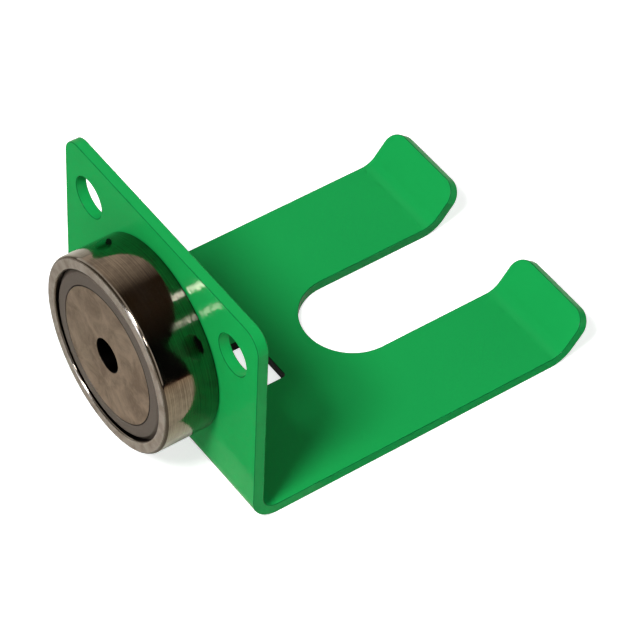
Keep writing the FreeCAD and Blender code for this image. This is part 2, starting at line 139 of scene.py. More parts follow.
def in_metres(span_mm: Span) -> Span:
    """Turns both ends of a span from millimetres to metres."""
    return span_mm[0] * MM, span_mm[1] * MM


def add_node(
    tree: bpy.types.NodeTree,
    kind: str,
    inputs: Mapping[str | int, Any] | None = None,
    **settings: Any,
) -> bpy.types.Node:
    """Adds a node, sets it up and links it.

    Args:
        tree: Node tree that the node goes into.
        kind: Blender's name for the type of node.
        inputs: For each input, by name or place, a value or the output that feeds it.
        **settings: The node's own settings.

    Returns:
        The new node.
    """
    node = tree.nodes.new(kind)
    for name, value in settings.items():
        setattr(node, name, value)
    for key, value in (inputs or {}).items():
        socket = node.inputs[key]
        if isinstance(value, bpy.types.NodeSocket):
            tree.links.new(value, socket)
        else:
            socket.default_value = value
    return node


def add_object(name: str, data: bpy.types.ID) -> bpy.types.Object:
    """Makes an object and links it to the scene.

    Args:
        name: Name of the object.
        data: The mesh, lamp or lens that it shows.

    Returns:
        The new object.
    """
    made = bpy.data.objects.new(name, data)
    bpy.context.scene.collection.objects.link(made)
    return made


def bare_material(name: str) -> bpy.types.Material:
    """Makes a material whose node tree is still empty.

    Args:
        name: Name of the material.

    Returns:
        The material.
    """
    material = bpy.data.materials.new(name)
    material.use_nodes = True
    material.node_tree.nodes.clear()
    return material


# ---------------------------------------------------------------------------
# Outlines
# ---------------------------------------------------------------------------


@dataclass(frozen=True)
class Corner:
    """A corner of an outline, with the radius that rounds it."""

    across: float
    along: float
    radius: float = 0.0


@dataclass(frozen=True)
class OutlinePoint:
    """A point of a finished outline and the direction that leaves the material there."""

    across: float
    along: float
    out_across: float
    out_along: float

    def inset(self, distance: float) -> tuple[float, float]:
        """Gives the place that lies a distance inside the material."""
        return self.across - distance * self.out_across, self.along - distance * self.out_along


def trace_outline(
    corners: Sequence[Corner],
    arc_step_deg: float,
    stops: Sequence[float] = (),
) -> list[OutlinePoint]:
    """Rounds the corners of a closed outline and gives each point its outward direction.

    The material lies to the left of the way round, so a hole runs clockwise.

    Args:
        corners: The corners in order.
        arc_step_deg: Largest turn between two points of an arc.
        stops: Values along the sheet at which each straight side gets a point.

    Returns:
        The points of the closed outline, the last one joined to the first.
    """
    points: list[OutlinePoint] = []
    count = len(corners)
    arcs: list[list[OutlinePoint]] = []
    for index, corner in enumerate(corners):
        here = Vector((corner.across, corner.along))
        before = corners[index - 1]
        after = corners[(index + 1) % count]
        way_in = (here - Vector((before.across, before.along))).normalized()
        way_out = (Vector((after.across, after.along)) - here).normalized()
        turn = math.atan2(way_in.x * way_out.y - way_in.y * way_out.x, way_in.dot(way_out))
        reach = corner.radius * math.tan(abs(turn) / 2)
        side = 1 if turn > 0 else -1
        centre = here - way_in * reach + Vector((-way_in.y, way_in.x)) * corner.radius * side
        first = math.atan2(-way_in.x * side, way_in.y * side)
        steps = max(LEAST_ARC_STEPS, math.ceil(math.degrees(abs(turn)) / arc_step_deg))
        arc = []
        for step in range(steps + 1):
            angle = first + turn * step / steps
            spoke = Vector((math.cos(angle), math.sin(angle)))
            place = centre + spoke * corner.radius
            arc.append(OutlinePoint(place.x, place.y, spoke.x * side, spoke.y * side))
        arcs.append(arc)
    for index, arc in enumerate(arcs):
        points.extend(arc)
        end = arc[-1]
        start = arcs[(index + 1) % count][0]
        run = start.along - end.along
        if math.hypot(start.across - end.across, run) < SAME_POINT:
            points.pop()
        if abs(run) <= LEAST_RUN:
            continue
        for stop in sorted(stops, reverse=run < 0):
            share = (stop - end.along) / run
            if SIDE_SHARES[0] < share < SIDE_SHARES[1]:
                across = end.across + (start.across - end.across) * share
                points.append(OutlinePoint(across, stop, end.out_across, end.out_along))
    return points


def lies_within(spot: Vector, loop: Sequence[Vector]) -> bool:
    """Tells whether a spot of the flat sheet lies inside a closed loop of places.

    Args:
        spot: The spot.
        loop: The places round the loop.

    Returns:
        True if the spot lies inside.
    """
    within = False
    for index, start in enumerate(loop):
        end = loop[index - 1]
        if (start.y > spot.y) != (end.y > spot.y):
            share = (spot.y - start.y) / (end.y - start.y)
            if spot.x < start.x + share * (end.x - start.x):
                within = not within
    return within


def circle_corners(across: float, along: float, radius: float) -> list[Corner]:
    """Gives the corners of a round hole: a square whose corners are rounded all the way."""
    signs = ((-1, -1), (-1, 1), (1, 1), (1, -1))
    return [Corner(across + radius * x, along + radius * y, radius) for x, y in signs]


def mesh_piece(
    name: str,
    places: Sequence[Vector],
    normals: Sequence[Vector],
    faces: Sequence[Sequence[int]],
) -> bpy.types.Object:
    """Makes an object from a mesh whose true surface direction is known at every point.

    Args:
        name: Name of the piece.
        places: Points in millimetres.
        normals: The surface's direction at each point.
        faces: Corners of each face, by their place in the list.

    Returns:
        The new object, linked to the scene.
    """
    mesh = bpy.data.meshes.new(name)
    mesh.from_pydata([place * MM for place in places], [], faces)
    mesh.validate()
    mesh.shade_smooth()
    mesh.normals_split_custom_set_from_vertices([normal.normalized() for normal in normals])
    mesh.update()
    return add_object(name, mesh)


# ---------------------------------------------------------------------------
# Finishes
# ---------------------------------------------------------------------------


@dataclass(frozen=True)
class Finish:
    """A real material and the way its surface was made."""

    name: str

    def shader(self, tree: bpy.types.NodeTree) -> bpy.types.Node:
        """Builds the finish's nodes, in each finish's own way, and returns its shader."""
        raise NotImplementedError

    def material(self) -> bpy.types.Material:
        """Makes the finish as a material.

        Returns:
            The material, made of nodes only.
        """
        material = bare_material(self.name)
        tree = material.node_tree
        shader = self.shader(tree)
        add_node(tree, "ShaderNodeOutputMaterial", {"Surface": shader.outputs[0]})
        return material


def lathe_place(
    tree: bpy.types.NodeTree, where: bpy.types.NodeSocket
) -> tuple[bpy.types.NodeSocket, bpy.types.NodeSocket]:
    """Works out where a point lies on a part that was turned about the Y axis.

    Args:
        tree: Node tree of the finish.
        where: The point, in the object's own metres.

    Returns:
        Its distance from the axis and its depth behind the contact face.
    """
    parts = add_node(tree, "ShaderNodeSeparateXYZ", {"Vector": where}).outputs
    flat = add_node(tree, "ShaderNodeCombineXYZ", {
        "X": parts["X"], "Y": parts["Z"],
    }).outputs["Vector"]
    radius = add_node(tree, "ShaderNodeVectorMath", {0: flat}, operation="LENGTH").outputs["Value"]
    return radius, parts["Y"]


@dataclass(frozen=True)
class PowderCoat(Finish):
    """Polyester powder, sprayed on the folded sheet and baked until it flows.

    It gives the eye a deep, even colour under a soft gloss and a faint orange peel. A darker line
    runs along each rounded edge, and the outer and slot walls carry painted shade. The window's
    laser-cut walls are painted near black as shade.
    """

    name: str = "powder_coat_polyester_baked"
    colour: str = "#1AA24F"
    thin_colour: str = "#139749"
    # Painted colours: a dark edge line with the walls' painted shade, and the window walls'
    # painted shade.
    edge_and_shade_colour: str = "#056733"
    window_shade_colour: str = "#04100A"
    ior: float = 1.5
    specular_level: float = 0.05
    gloss_roughness: float = 0.035
    dull_roughness: float = 0.08
    flow_mm: float = 22.0
    peel_mm: float = 1.3
    peel_depth_mm: float = 0.05
    powder_mm: float = 0.35  # the powder is 0.04 mm, too fine to show
    powder_depth_mm: float = 0.0025
    thin_span: Span = (0.35, 0.75)  # of the flow's noise, as is the next
    thin_share: float = 0.22
    dull_span: Span = (0.3, 0.7)

    def shader(self, tree: bpy.types.NodeTree) -> bpy.types.Node:
        """Builds the finish's nodes.

        Args:
            tree: Node tree that they go into.

        Returns:
            The shader.
        """
        where = add_node(tree, "ShaderNodeTexCoord").outputs["Object"]
        flow, peel, powder = (
            add_node(tree, "ShaderNodeTexNoise", {
                "Vector": where, "Scale": per_metre(size), **more,
            }).outputs["Fac"]
            for size, more in (
                (self.flow_mm, {"Detail": 3.0}),
                (self.peel_mm, {"Detail": 1.0, "Roughness": 0.4}),
                (self.powder_mm, {"Detail": 1.0}),
            )
        )
        thinness, roughness = (
            add_node(tree, "ShaderNodeMapRange", {
                "Value": flow, "From Min": low, "From Max": high, **ends,
            }).outputs["Result"]
            for (low, high), ends in (
                (self.thin_span, {"To Max": self.thin_share}),
                (self.dull_span, {"To Min": self.gloss_roughness, "To Max": self.dull_roughness}),
            )
        )
        # The edge mask holds a dark line on the roundings with painted shade on the walls; the
        # window mask holds painted shade.
        edge, window_shade = (
            add_node(tree, "ShaderNodeAttribute", attribute_name=mask).outputs["Fac"]
            for mask in (EDGE_AND_SHADE_MASK, WINDOW_SHADE_MASK)
        )
        colour = linear(self.colour)
        for mask, over in (
            (thinness, self.thin_colour),
            (edge, self.edge_and_shade_colour),
            (window_shade, self.window_shade_colour),
        ):
            colour = add_node(tree, "ShaderNodeMix", {
                MIX_FACTOR: mask, MIX_FIRST: colour, MIX_SECOND: linear(over),
            }, data_type="RGBA").outputs[MIX_RESULT]
        relief: dict[str, bpy.types.NodeSocket] = {}
        for height, depth_mm in ((peel, self.peel_depth_mm), (powder, self.powder_depth_mm)):
            relief["Normal"] = add_node(tree, "ShaderNodeBump", {
                "Height": height, "Strength": 1.0, "Distance": depth_mm * MM, **relief,
            }).outputs["Normal"]
        return add_node(tree, "ShaderNodeBsdfPrincipled", {
            "Base Color": colour, "Roughness": roughness, "IOR": self.ior,
            "Specular IOR Level": self.specular_level, **relief,
        })


@dataclass(frozen=True)
class TurnedNickel(Finish):
    """Nickel, plated bright over turned steel.

    It gives the eye a warm grey mirror that the fine rings of the lathe tool streak, and that a
    slight waviness of the steel bends. The rim's face has met steel many times, so it is paler
    and duller. The wall inside the rim is darkened as painted shade, and the side goes dark where
    it meets the plate, partly a dark joint and partly painted contact shade.
    """

    name: str = "nickel_plate_on_turned_steel"
    colour: str = "#897E6F"
    worn_colour: str = "#6A6055"
    rim_colour: str = "#E2D9CC"
    rim_worn_colour: str = "#BDAE9C"
    joint_and_shade_colour: str = "#15110D"
    mirror_roughness: float = 0.06
    dull_roughness: float = 0.16
    rim_roughness: float = 0.3
    rim_metallic: float = 0.86  # its fine scratches scatter light that a mirror would send on
    stain_mm: float = 3.5
    ring_mm: float = 0.36  # the feed is about 0.15 mm, too fine to show
    ring_depth_mm: float = 0.0022
    wave_mm: float = 7.0
    wave_depth_mm: float = 0.022
    rim_depth_mm: Span = (0.05, 0.35)
    mouth_mm: float = 22.0  # the painted shade of the recess lies within this radius, on the wall and not on the rim
    # Beyond this depth the wall inside the rim is painted dark as shade.
    mouth_shade_depth_mm: Span = (0.42, 0.6)
    # At the plate the side goes dark: partly a dark joint, partly painted contact shade.
    joint_mm: Span = (13.9, 14.12)  # depth at which the cup's side goes dark against the plate
    worn_span: Span = (0.85, 1.25)  # of the stain's noise and the rings' together
    rim_worn_span: Span = (0.42, 0.68)  # of the stain's noise, as is the next
    dull_span: Span = (0.35, 0.75)

    def shader(self, tree: bpy.types.NodeTree) -> bpy.types.Node:
        """Builds the finish's nodes.

        Args:
            tree: Node tree that they go into.

        Returns:
            The shader.
        """
        where = add_node(tree, "ShaderNodeTexCoord").outputs["Object"]
        radius, depth = lathe_place(tree, where)
        # Radius less depth changes along the walls and the faces alike, so the rings lie on both.
        lathe_path = add_node(tree, "ShaderNodeMath", {
            0: radius, 1: depth,
        }, operation="SUBTRACT").outputs["Value"]
        wander, wave, stain = (
            add_node(tree, "ShaderNodeTexNoise", {
                "Vector": where, "Scale": per_metre(size), **more,
            }).outputs["Fac"]
            for size, more in (
                (self.wave_mm, {"Detail": 1.0}),
                (self.wave_mm, {"Detail": 4.0, "Roughness": 0.55}),
                (self.stain_mm, {"Detail": 5.0, "Roughness": 0.6}),
            )
        )
        turns = add_node(tree, "ShaderNodeMath", {
            0: lathe_path, 1: per_metre(self.ring_mm), 2: wander,
        }, operation="MULTIPLY_ADD").outputs["Value"]
        rings = add_node(tree, "ShaderNodeTexNoise", {
            "W": turns, "Scale": 1.0, "Detail": 2.0, "Roughness": 0.6,
        }, noise_dimensions="1D").outputs["Fac"]
        streaked = add_node(tree, "ShaderNodeMath", {
            0: stain, 1: rings,
        }, operation="ADD").outputs["Value"]
        dulling = {"To Min": self.mirror_roughness, "To Max": self.dull_roughness}
        worn, rim_worn, on_rim, deep, at_plate, side_roughness = (
            add_node(tree, "ShaderNodeMapRange", {
                "Value": value, "From Min": low, "From Max": high, **ends,
            }).outputs["Result"]
            for value, (low, high), ends in (
                (streaked, self.worn_span, {}),
                (stain, self.rim_worn_span, {}),
                (depth, in_metres(self.rim_depth_mm), FALLING),
                (depth, in_metres(self.mouth_shade_depth_mm), {}),
                (depth, in_metres(self.joint_mm), {}),
                (stain, self.dull_span, dulling),
            )
        )
        # Painted shade on the wall inside the rim, and at the plate a dark joint with painted
        # contact shade.
        inside = add_node(tree, "ShaderNodeMath", {
            0: radius, 1: self.mouth_mm * MM,
        }, operation="LESS_THAN").outputs["Value"]
        in_mouth = add_node(tree, "ShaderNodeMath", {
            0: inside, 1: deep,
        }, operation="MULTIPLY").outputs["Value"]
        joint_and_shade = add_node(tree, "ShaderNodeMath", {
            0: in_mouth, 1: at_plate,
        }, operation="MAXIMUM").outputs["Value"]
        rim = add_node(tree, "ShaderNodeMix", {
            MIX_FACTOR: rim_worn, MIX_FIRST: linear(self.rim_colour),
            MIX_SECOND: linear(self.rim_worn_colour),
        }, data_type="RGBA").outputs[MIX_RESULT]
        colour = linear(self.colour)
        for mask, over in (
            (worn, linear(self.worn_colour)),
            (on_rim, rim),
            (joint_and_shade, linear(self.joint_and_shade_colour)),
        ):
            colour = add_node(tree, "ShaderNodeMix", {
                MIX_FACTOR: mask, MIX_FIRST: colour, MIX_SECOND: over,
            }, data_type="RGBA").outputs[MIX_RESULT]
        roughness, metallic = (
            add_node(tree, "ShaderNodeMapRange", {
                "Value": on_rim, "To Min": on_side, "To Max": on_face,
            }).outputs["Result"]
            for on_side, on_face in (
                (side_roughness, self.rim_roughness),
                (1.0, self.rim_metallic),
            )
        )
        relief: dict[str, bpy.types.NodeSocket] = {}
        for height, depth_mm in ((wave, self.wave_depth_mm), (rings, self.ring_depth_mm)):
            relief["Normal"] = add_node(tree, "ShaderNodeBump", {
                "Height": height, "Strength": 1.0, "Distance": depth_mm * MM, **relief,
            }).outputs["Normal"]
        return add_node(tree, "ShaderNodeBsdfPrincipled", {
            "Base Color": colour, "Metallic": metallic, "Roughness": roughness, **relief,
        })


@dataclass(frozen=True)
class GroundNickel(Finish):
    """Nickel, plated over the ground face of a sintered magnet.

    It gives the eye a dull warm grey with cloudy brown stains and small rubbed patches, where
    the face has met steel many times. The bore is near black, and so is a thin ring where the
    face meets the resin.
    """

    name: str = "nickel_plate_on_ground_magnet"
    colour: str = "#E2CEB6"
    stain_colour: str = "#AD9882"
    rubbed_colour: str = "#E8D8C4"
    bore_colour: str = "#0B0908"
    bright_roughness: float = 0.28
    dull_roughness: float = 0.44
    bore_mm: Span = (4.3, 4.42)
    joint_mm: Span = (16.88, 17.02)  # radius at which the face goes dark against the resin
    cloud_mm: float = 7.0
    fleck_mm: float = 0.8
    grain_mm: float = 0.25  # the ground grain is finer than the render shows
    grain_depth_mm: float = 0.002
    wave_depth_mm: float = 0.012
    stained_span: Span = (0.38, 0.62)  # of the clouds' noise
    stained_share: float = 0.95
    rubbed_span: Span = (0.5, 0.75)  # of the flecks' noise
    rubbed_share: float = 0.35
    dull_span: Span = (0.35, 0.7)  # of the clouds' noise

    def shader(self, tree: bpy.types.NodeTree) -> bpy.types.Node:
        """Builds the finish's nodes.

        Args:
            tree: Node tree that they go into.

        Returns:
            The shader.
        """
        where = add_node(tree, "ShaderNodeTexCoord").outputs["Object"]
        cloud, fleck, grain = (
            add_node(tree, "ShaderNodeTexNoise", {
                "Vector": where, "Scale": per_metre(size), **more,
            }).outputs["Fac"]
            for size, more in (
                (self.cloud_mm, {"Detail": 6.0, "Roughness": 0.62, "Distortion": 0.6}),
                (self.fleck_mm, {"Detail": 3.0}),
                (self.grain_mm, {"Detail": 2.0}),
            )
        )
        radius = lathe_place(tree, where)[0]
        dulling = {"To Min": self.bright_roughness, "To Max": self.dull_roughness}
        stained, rubbed, at_joint, in_bore, roughness = (
            add_node(tree, "ShaderNodeMapRange", {
                "Value": value, "From Min": low, "From Max": high, **ends,
            }).outputs["Result"]
            for value, (low, high), ends in (
                (cloud, self.stained_span, {"To Max": self.stained_share}),
                (fleck, self.rubbed_span, {"To Max": self.rubbed_share}),
                (radius, in_metres(self.joint_mm), {}),
                (radius, in_metres(self.bore_mm), FALLING),
                (cloud, self.dull_span, dulling),
            )
        )
        # The bore and a thin ring against the resin are coloured near black.
        near_black = add_node(tree, "ShaderNodeMath", {
            0: in_bore, 1: at_joint,
        }, operation="MAXIMUM").outputs["Value"]
        colour = linear(self.colour)
        for mask, over in (
            (stained, self.stain_colour),
            (rubbed, self.rubbed_colour),
            (near_black, self.bore_colour),
        ):
            colour = add_node(tree, "ShaderNodeMix", {
                MIX_FACTOR: mask, MIX_FIRST: colour, MIX_SECOND: linear(over),
            }, data_type="RGBA").outputs[MIX_RESULT]
        relief: dict[str, bpy.types.NodeSocket] = {}
        for height, depth_mm in ((cloud, self.wave_depth_mm), (grain, self.grain_depth_mm)):
            relief["Normal"] = add_node(tree, "ShaderNodeBump", {
                "Height": height, "Strength": 1.0, "Distance": depth_mm * MM, **relief,
            }).outputs["Normal"]
        return add_node(tree, "ShaderNodeBsdfPrincipled", {
            "Base Color": colour, "Metallic": 1.0, "Roughness": roughness, **relief,
        })


@dataclass(frozen=True)
class PottingResin(Finish):
    """Filled epoxy, poured round the magnet and ground level with it.

    It gives the eye a plain brownish grey, duller than the metal on both its sides, with the
    filler showing as a fine grain.
    """

    name: str = "epoxy_resin_poured_and_ground"
    colour: str = "#665B50"
    filler_colour: str = "#4B433B"
    ior: float = 1.55
    roughness: float = 0.4
    filler_mm: float = 0.5
    filler_depth_mm: float = 0.006

    def shader(self, tree: bpy.types.NodeTree) -> bpy.types.Node:
        """Builds the finish's nodes.

        Args:
            tree: Node tree that they go into.

        Returns:
            The shader.
        """
        where = add_node(tree, "ShaderNodeTexCoord").outputs["Object"]
        filler = add_node(tree, "ShaderNodeTexNoise", {
            "Vector": where, "Scale": per_metre(self.filler_mm), "Detail": 4.0, "Roughness": 0.6,
        }).outputs["Fac"]
        colour = add_node(tree, "ShaderNodeMix", {
            MIX_FACTOR: filler, MIX_FIRST: linear(self.colour),
            MIX_SECOND: linear(self.filler_colour),
        }, data_type="RGBA").outputs[MIX_RESULT]
        surface = add_node(tree, "ShaderNodeBump", {
            "Height": filler, "Strength": 1.0, "Distance": self.filler_depth_mm * MM,
        }).outputs["Normal"]
        return add_node(tree, "ShaderNodeBsdfPrincipled", {
            "Base Color": colour, "Roughness": self.roughness, "IOR": self.ior, "Normal": surface,
        })


@dataclass(frozen=True)
class ZincPlate(Finish):
    """Zinc, plated and blue passivated on rolled and stamped steel.

    It gives the eye a cool pale grey with a satin shine, cloudy from piece to piece.
    """

    name: str = "zinc_plate_blue_passivated"
    colour: str = "#B4B8BB"
    cloud_colour: str = "#979DA3"
    bright_roughness: float = 0.24
    dull_roughness: float = 0.4
    cloud_mm: float = 2.4
    grain_mm: float = 0.3
    grain_depth_mm: float = 0.002
    dull_span: Span = (0.3, 0.7)  # of the clouds' noise

    def shader(self, tree: bpy.types.NodeTree) -> bpy.types.Node:
        """Builds the finish's nodes.

        Args:
            tree: Node tree that they go into.

        Returns:
            The shader.
        """
        where = add_node(tree, "ShaderNodeTexCoord").outputs["Object"]
        cloud, grain = (
            add_node(tree, "ShaderNodeTexNoise", {
                "Vector": where, "Scale": per_metre(size), **more,
            }).outputs["Fac"]
            for size, more in (
                (self.cloud_mm, {"Detail": 4.0, "Roughness": 0.6}),
                (self.grain_mm, {"Detail": 2.0}),
            )
        )
        colour = add_node(tree, "ShaderNodeMix", {
            MIX_FACTOR: cloud, MIX_FIRST: linear(self.colour),
            MIX_SECOND: linear(self.cloud_colour),
        }, data_type="RGBA").outputs[MIX_RESULT]
        roughness = add_node(tree, "ShaderNodeMapRange", {
            "Value": cloud, "From Min": self.dull_span[0], "From Max": self.dull_span[1],
            "To Min": self.bright_roughness, "To Max": self.dull_roughness,
        }).outputs["Result"]
        surface = add_node(tree, "ShaderNodeBump", {
            "Height": grain, "Strength": 1.0, "Distance": self.grain_depth_mm * MM,
        }).outputs["Normal"]
        return add_node(tree, "ShaderNodeBsdfPrincipled", {
            "Base Color": colour, "Metallic": 1.0, "Roughness": roughness, "Normal": surface,
        })


# ---------------------------------------------------------------------------
# Sub-assemblies
# ---------------------------------------------------------------------------


@dataclass(frozen=True)
class FoldedPoint:
    """Where a point of the flat sheet comes to lie, and the sheet's directions there."""

    along: float
    up: float
    heading: float


@dataclass
class ForkBracket:
    """The folded sheet: an upright plate, a shelf that ends as a fork, and turned-up tips."""

    width: float = 76.2
    thickness: float = 2.8
    plate_height: float = 60.6
    plate_corner: float = 5.0
    bend_inner: float = 4.2
    tip_bend_line: float = 87.4
    tip_angle_deg: float = 51.0
    tip_length: float = 11.375
    tip_bend_inner: float = 5.0
    tip_corner: float = 4.5
    slot_width: float = 25.0
    slot_end: float = 42.0
    window_width: float = 15.0
    window_length: float = 15.0
    window_start: float = 15.4
    window_corner: float = 0.8
    hole_diameter: float = 10.5
    hole_margin: float = 9.525
    hole_drop: float = 12.5
    bore_diameter: float = 9.0
    bore_height: float = 30.0
    back_of_magnet: float = 14.4
    edge_radius: float = 0.2
    edge_steps: int = 4
    # The walls' painted shade, as a share of a rounding's dark line.
    slot_wall_shade: float = 0.5  # share of a rounding's dark edge that the slot's walls show
    outer_wall_shade: float = 0.12  # the same for the outer walls
    window_number: int = 1  # place of the window among the outlines
    bend_step_deg: float = 4.5
    arc_step_deg: float = 5.0
    finish: Finish = field(default_factory=PowderCoat)

    @property
    def outer_bend(self) -> float:
        """Radius of the main bend on the sheet's outer face."""
        return self.bend_inner + self.thickness

    @property
    def tip_reach(self) -> float:
        """Length that the tip's bend takes off each flat beside it, on the upper face."""
        return self.tip_bend_inner * math.tan(math.radians(self.tip_angle_deg) / 2)

    def stations(self) -> tuple[float, float, float, float, float]:
        """Gives the flat sheet's lengths, on its middle line, at which the bends begin and end.

        Returns:
            Begin and end of the main bend, begin and end of the tip's bend, and the sheet's end.
        """
        bend_begin = self.plate_height - self.outer_bend
        bend_end = bend_begin + math.pi / 2 * (self.bend_inner + self.thickness / 2)
        shelf = self.tip_bend_line - self.tip_reach - self.outer_bend
        tip_begin = bend_end + shelf
        turn = math.radians(self.tip_angle_deg)
        tip_end = tip_begin + turn * (self.tip_bend_inner + self.thickness / 2)
        return bend_begin, bend_end, tip_begin, tip_end, tip_end + self.tip_length - self.tip_reach

    def fold(self, station: float) -> FoldedPoint:
        """Finds a station of the flat sheet's outer face on the folded one.

        Args:
            station: Length along the sheet's middle line from the plate's upper edge.

        Returns:
            The place on the outer face, and the sheet's heading, which is 0 along the shelf.
        """
        bend_begin, bend_end, tip_begin, tip_end, _ = self.stations()
        turn = math.radians(self.tip_angle_deg)
        if station <= bend_begin:
            return FoldedPoint(0.0, self.plate_height - station, -math.pi / 2)
        if station <= bend_end:
            heading = -math.pi / 2 * (bend_end - station) / (bend_end - bend_begin)
            radius = self.outer_bend
            return FoldedPoint(
                radius + radius * math.sin(heading), radius - radius * math.cos(heading), heading
            )
        shelf_end = self.tip_bend_line - self.tip_reach
        if station <= tip_begin:
            return FoldedPoint(shelf_end - (tip_begin - station), 0.0, 0.0)
        radius = self.tip_bend_inner + self.thickness
        heading = min(1.0, (station - tip_begin) / (tip_end - tip_begin)) * turn
        along = shelf_end + radius * math.sin(heading)
        up = radius - radius * math.cos(heading)
        past = max(0.0, station - tip_end)
        return FoldedPoint(along + past * math.cos(turn), up + past * math.sin(turn), heading)

    def bend_stations(self) -> tuple[list[float], list[float]]:
        """Divides the bends into steps.

        Returns:
            The stations that divide the main bend, and those that divide the tips' bend.
        """
        bend_begin, bend_end, tip_begin, tip_end, _ = self.stations()
        bends = ((bend_begin, bend_end, 90.0), (tip_begin, tip_end, self.tip_angle_deg))
        found = []
        for begin, end, turn in bends:
            steps = math.ceil(turn / self.bend_step_deg)
            found.append([begin + (end - begin) * step / steps for step in range(steps + 1)])
        return found[0], found[1]

    def outlines(self) -> list[list[OutlinePoint]]:
        """Draws the flat sheet: its outer edge with the open slot, then the holes.

        Returns:
            The outer edge, anticlockwise, and each hole, clockwise.
        """
        half = self.width / 2
        slot = self.slot_width / 2
        _, bend_end, _, _, sheet_end = self.stations()
        shelf_start = bend_end - self.outer_bend
        slot_end = shelf_start + self.slot_end
        main_bend, tip_bend = self.bend_stations()
        outer = [
            Corner(-half, 0.0, self.plate_corner),
            Corner(half, 0.0, self.plate_corner),
            Corner(half, sheet_end, self.tip_corner),
            Corner(slot, sheet_end, self.tip_corner),
            Corner(slot, slot_end, slot),
            Corner(-slot, slot_end, slot),
            Corner(-slot, sheet_end, self.tip_corner),
            Corner(-half, sheet_end, self.tip_corner),
        ]
        window_near = shelf_start + self.window_start
        window_far = window_near + self.window_length
        window_half = self.window_width / 2
        window = [
            Corner(-window_half, window_near, self.window_corner),
            Corner(-window_half, window_far, self.window_corner),
            Corner(window_half, window_far, self.window_corner),
            Corner(window_half, window_near, self.window_corner),
        ]
        hole_across = half - self.hole_margin
        bore_station = self.plate_height - self.bore_height
        holes = [
            circle_corners(-hole_across, self.hole_drop, self.hole_diameter / 2),
            circle_corners(hole_across, self.hole_drop, self.hole_diameter / 2),
            circle_corners(0.0, bore_station, self.bore_diameter / 2),
        ]
        drawn = [trace_outline(outer, self.arc_step_deg, [*main_bend, *tip_bend])]
        drawn += [trace_outline(corners, self.arc_step_deg) for corners in (window, *holes)]
        return drawn

    def edge_profile(self) -> list[tuple[float, float, float]]:
        """Gives the rounded edge's section from the outer face to the inner one.

        Returns:
            For each step, the inset from the outline, the height through the sheet, and the
            turn from facing outwards through the sheet's outer face to its inner one.
        """
        radius = self.edge_radius
        steps = []
        for step in range(self.edge_steps + 1):
            turn = math.pi / 2 * step / self.edge_steps
            inset, height = radius * (1 - math.sin(turn)), radius * (1 - math.cos(turn))
            steps.append((inset, height, turn - math.pi / 2))
        return steps + [
            (inset, self.thickness - height, -turn) for inset, height, turn in reversed(steps)
        ]

    def place(
        self, across: float, station: float, height: float, facing: Vector
    ) -> tuple[Vector, Vector]:
        """Folds a point of the flat sheet and its direction into the row frame.

        Args:
            across: Place across the width.
            station: Place along the sheet.
            height: Height through the sheet from its outer face.
            facing: Direction on the flat sheet: across, along, and through it.

        Returns:
            The place in millimetres and the direction.
        """
        spot = self.fold(station)
        cosine, sine = math.cos(spot.heading), math.sin(spot.heading)
        where = Vector(
            (
                across,
                self.back_of_magnet + spot.along - height * sine,
                spot.up + height * cosine - self.bore_height,
            )
        )
        direction = Vector(
            (facing.x, facing.y * cosine - facing.z * sine, facing.y * sine + facing.z * cosine)
        )
        return where, direction

    def cross_lines(self, outline: Sequence[OutlinePoint]) -> list[tuple[int, int]]:
        """Pairs the points of the outer edge that a bend's division runs between.

        Args:
            outline: The sheet's outer edge.

        Returns:
            Pairs of places in the outline.
        """
        main_bend, tip_bend = self.bend_stations()
        pairs = []
        for stations, groups in ((main_bend, 1), (tip_bend, 2)):
            for station in stations:
                found = sorted(
                    (
                        index
                        for index, point in enumerate(outline)
                        if abs(point.along - station) < SAME_STATION
                    ),
                    key=lambda index: outline[index].across,
                )
                pairs += [(found[2 * group], found[2 * group + 1]) for group in range(groups)]
        return pairs

    def build(self) -> bpy.types.Object:
        """Cuts the flat sheet out, rounds its edges and folds it.

        Returns:
            The bracket, in place of the plain solid.
        """
        outlines = self.outlines()
        profile = self.edge_profile()
        places: list[Vector] = []
        normals: list[Vector] = []
        edge_and_shade_marks: list[float] = []
        window_shade_marks: list[float] = []
        faces: list[tuple[int, ...]] = []
        rims: tuple[list[list[int]], list[list[int]]] = ([], [])
        for number, outline in enumerate(outlines):
            first = len(places)
            count = len(outline)
            for inset, height, turn in profile:
                for point in outline:
                    across, station = point.inset(inset)
                    facing = Vector(
                        (
                            point.out_across * math.cos(turn),
                            point.out_along * math.cos(turn),
                            math.sin(turn),
                        )
                    )
                    where, direction = self.place(across, station, height, facing)
                    places.append(where)
                    normals.append(direction)
                    edge_and_shade_marks.append(self.edge_and_shade_mark(point, turn))
                    # The window's walls are painted near black as shade, fading over their
                    # roundings.
                    window_shade_marks.append(math.cos(turn) if number == self.window_number else 0.0)
            for row in range(len(profile) - 1):
                for index in range(count):
                    following = (index + 1) % count
                    low, high = first + row * count, first + (row + 1) * count
                    faces.append((low + index, low + following, high + following, high + index))
            rims[0].append([first + index for index in range(count)])
            last = first + (len(profile) - 1) * count
            rims[1].append([last + index for index in range(count)])
        pairs = self.cross_lines(outlines[0])
        for loops, inward in ((rims[0], True), (rims[1], False)):
            faces += self.face_sheet(outlines, loops, pairs, flipped=inward)
        piece = mesh_piece("fork_bracket", places, normals, faces)
        for name, marks in ((EDGE_AND_SHADE_MASK, edge_and_shade_marks), (WINDOW_SHADE_MASK, window_shade_marks)):
            piece.data.attributes.new(name, "FLOAT", "POINT").data.foreach_set("value", marks)
        piece.data.materials.append(self.finish.material())
        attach(piece, BODY)
        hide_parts("bracket")
        return piece

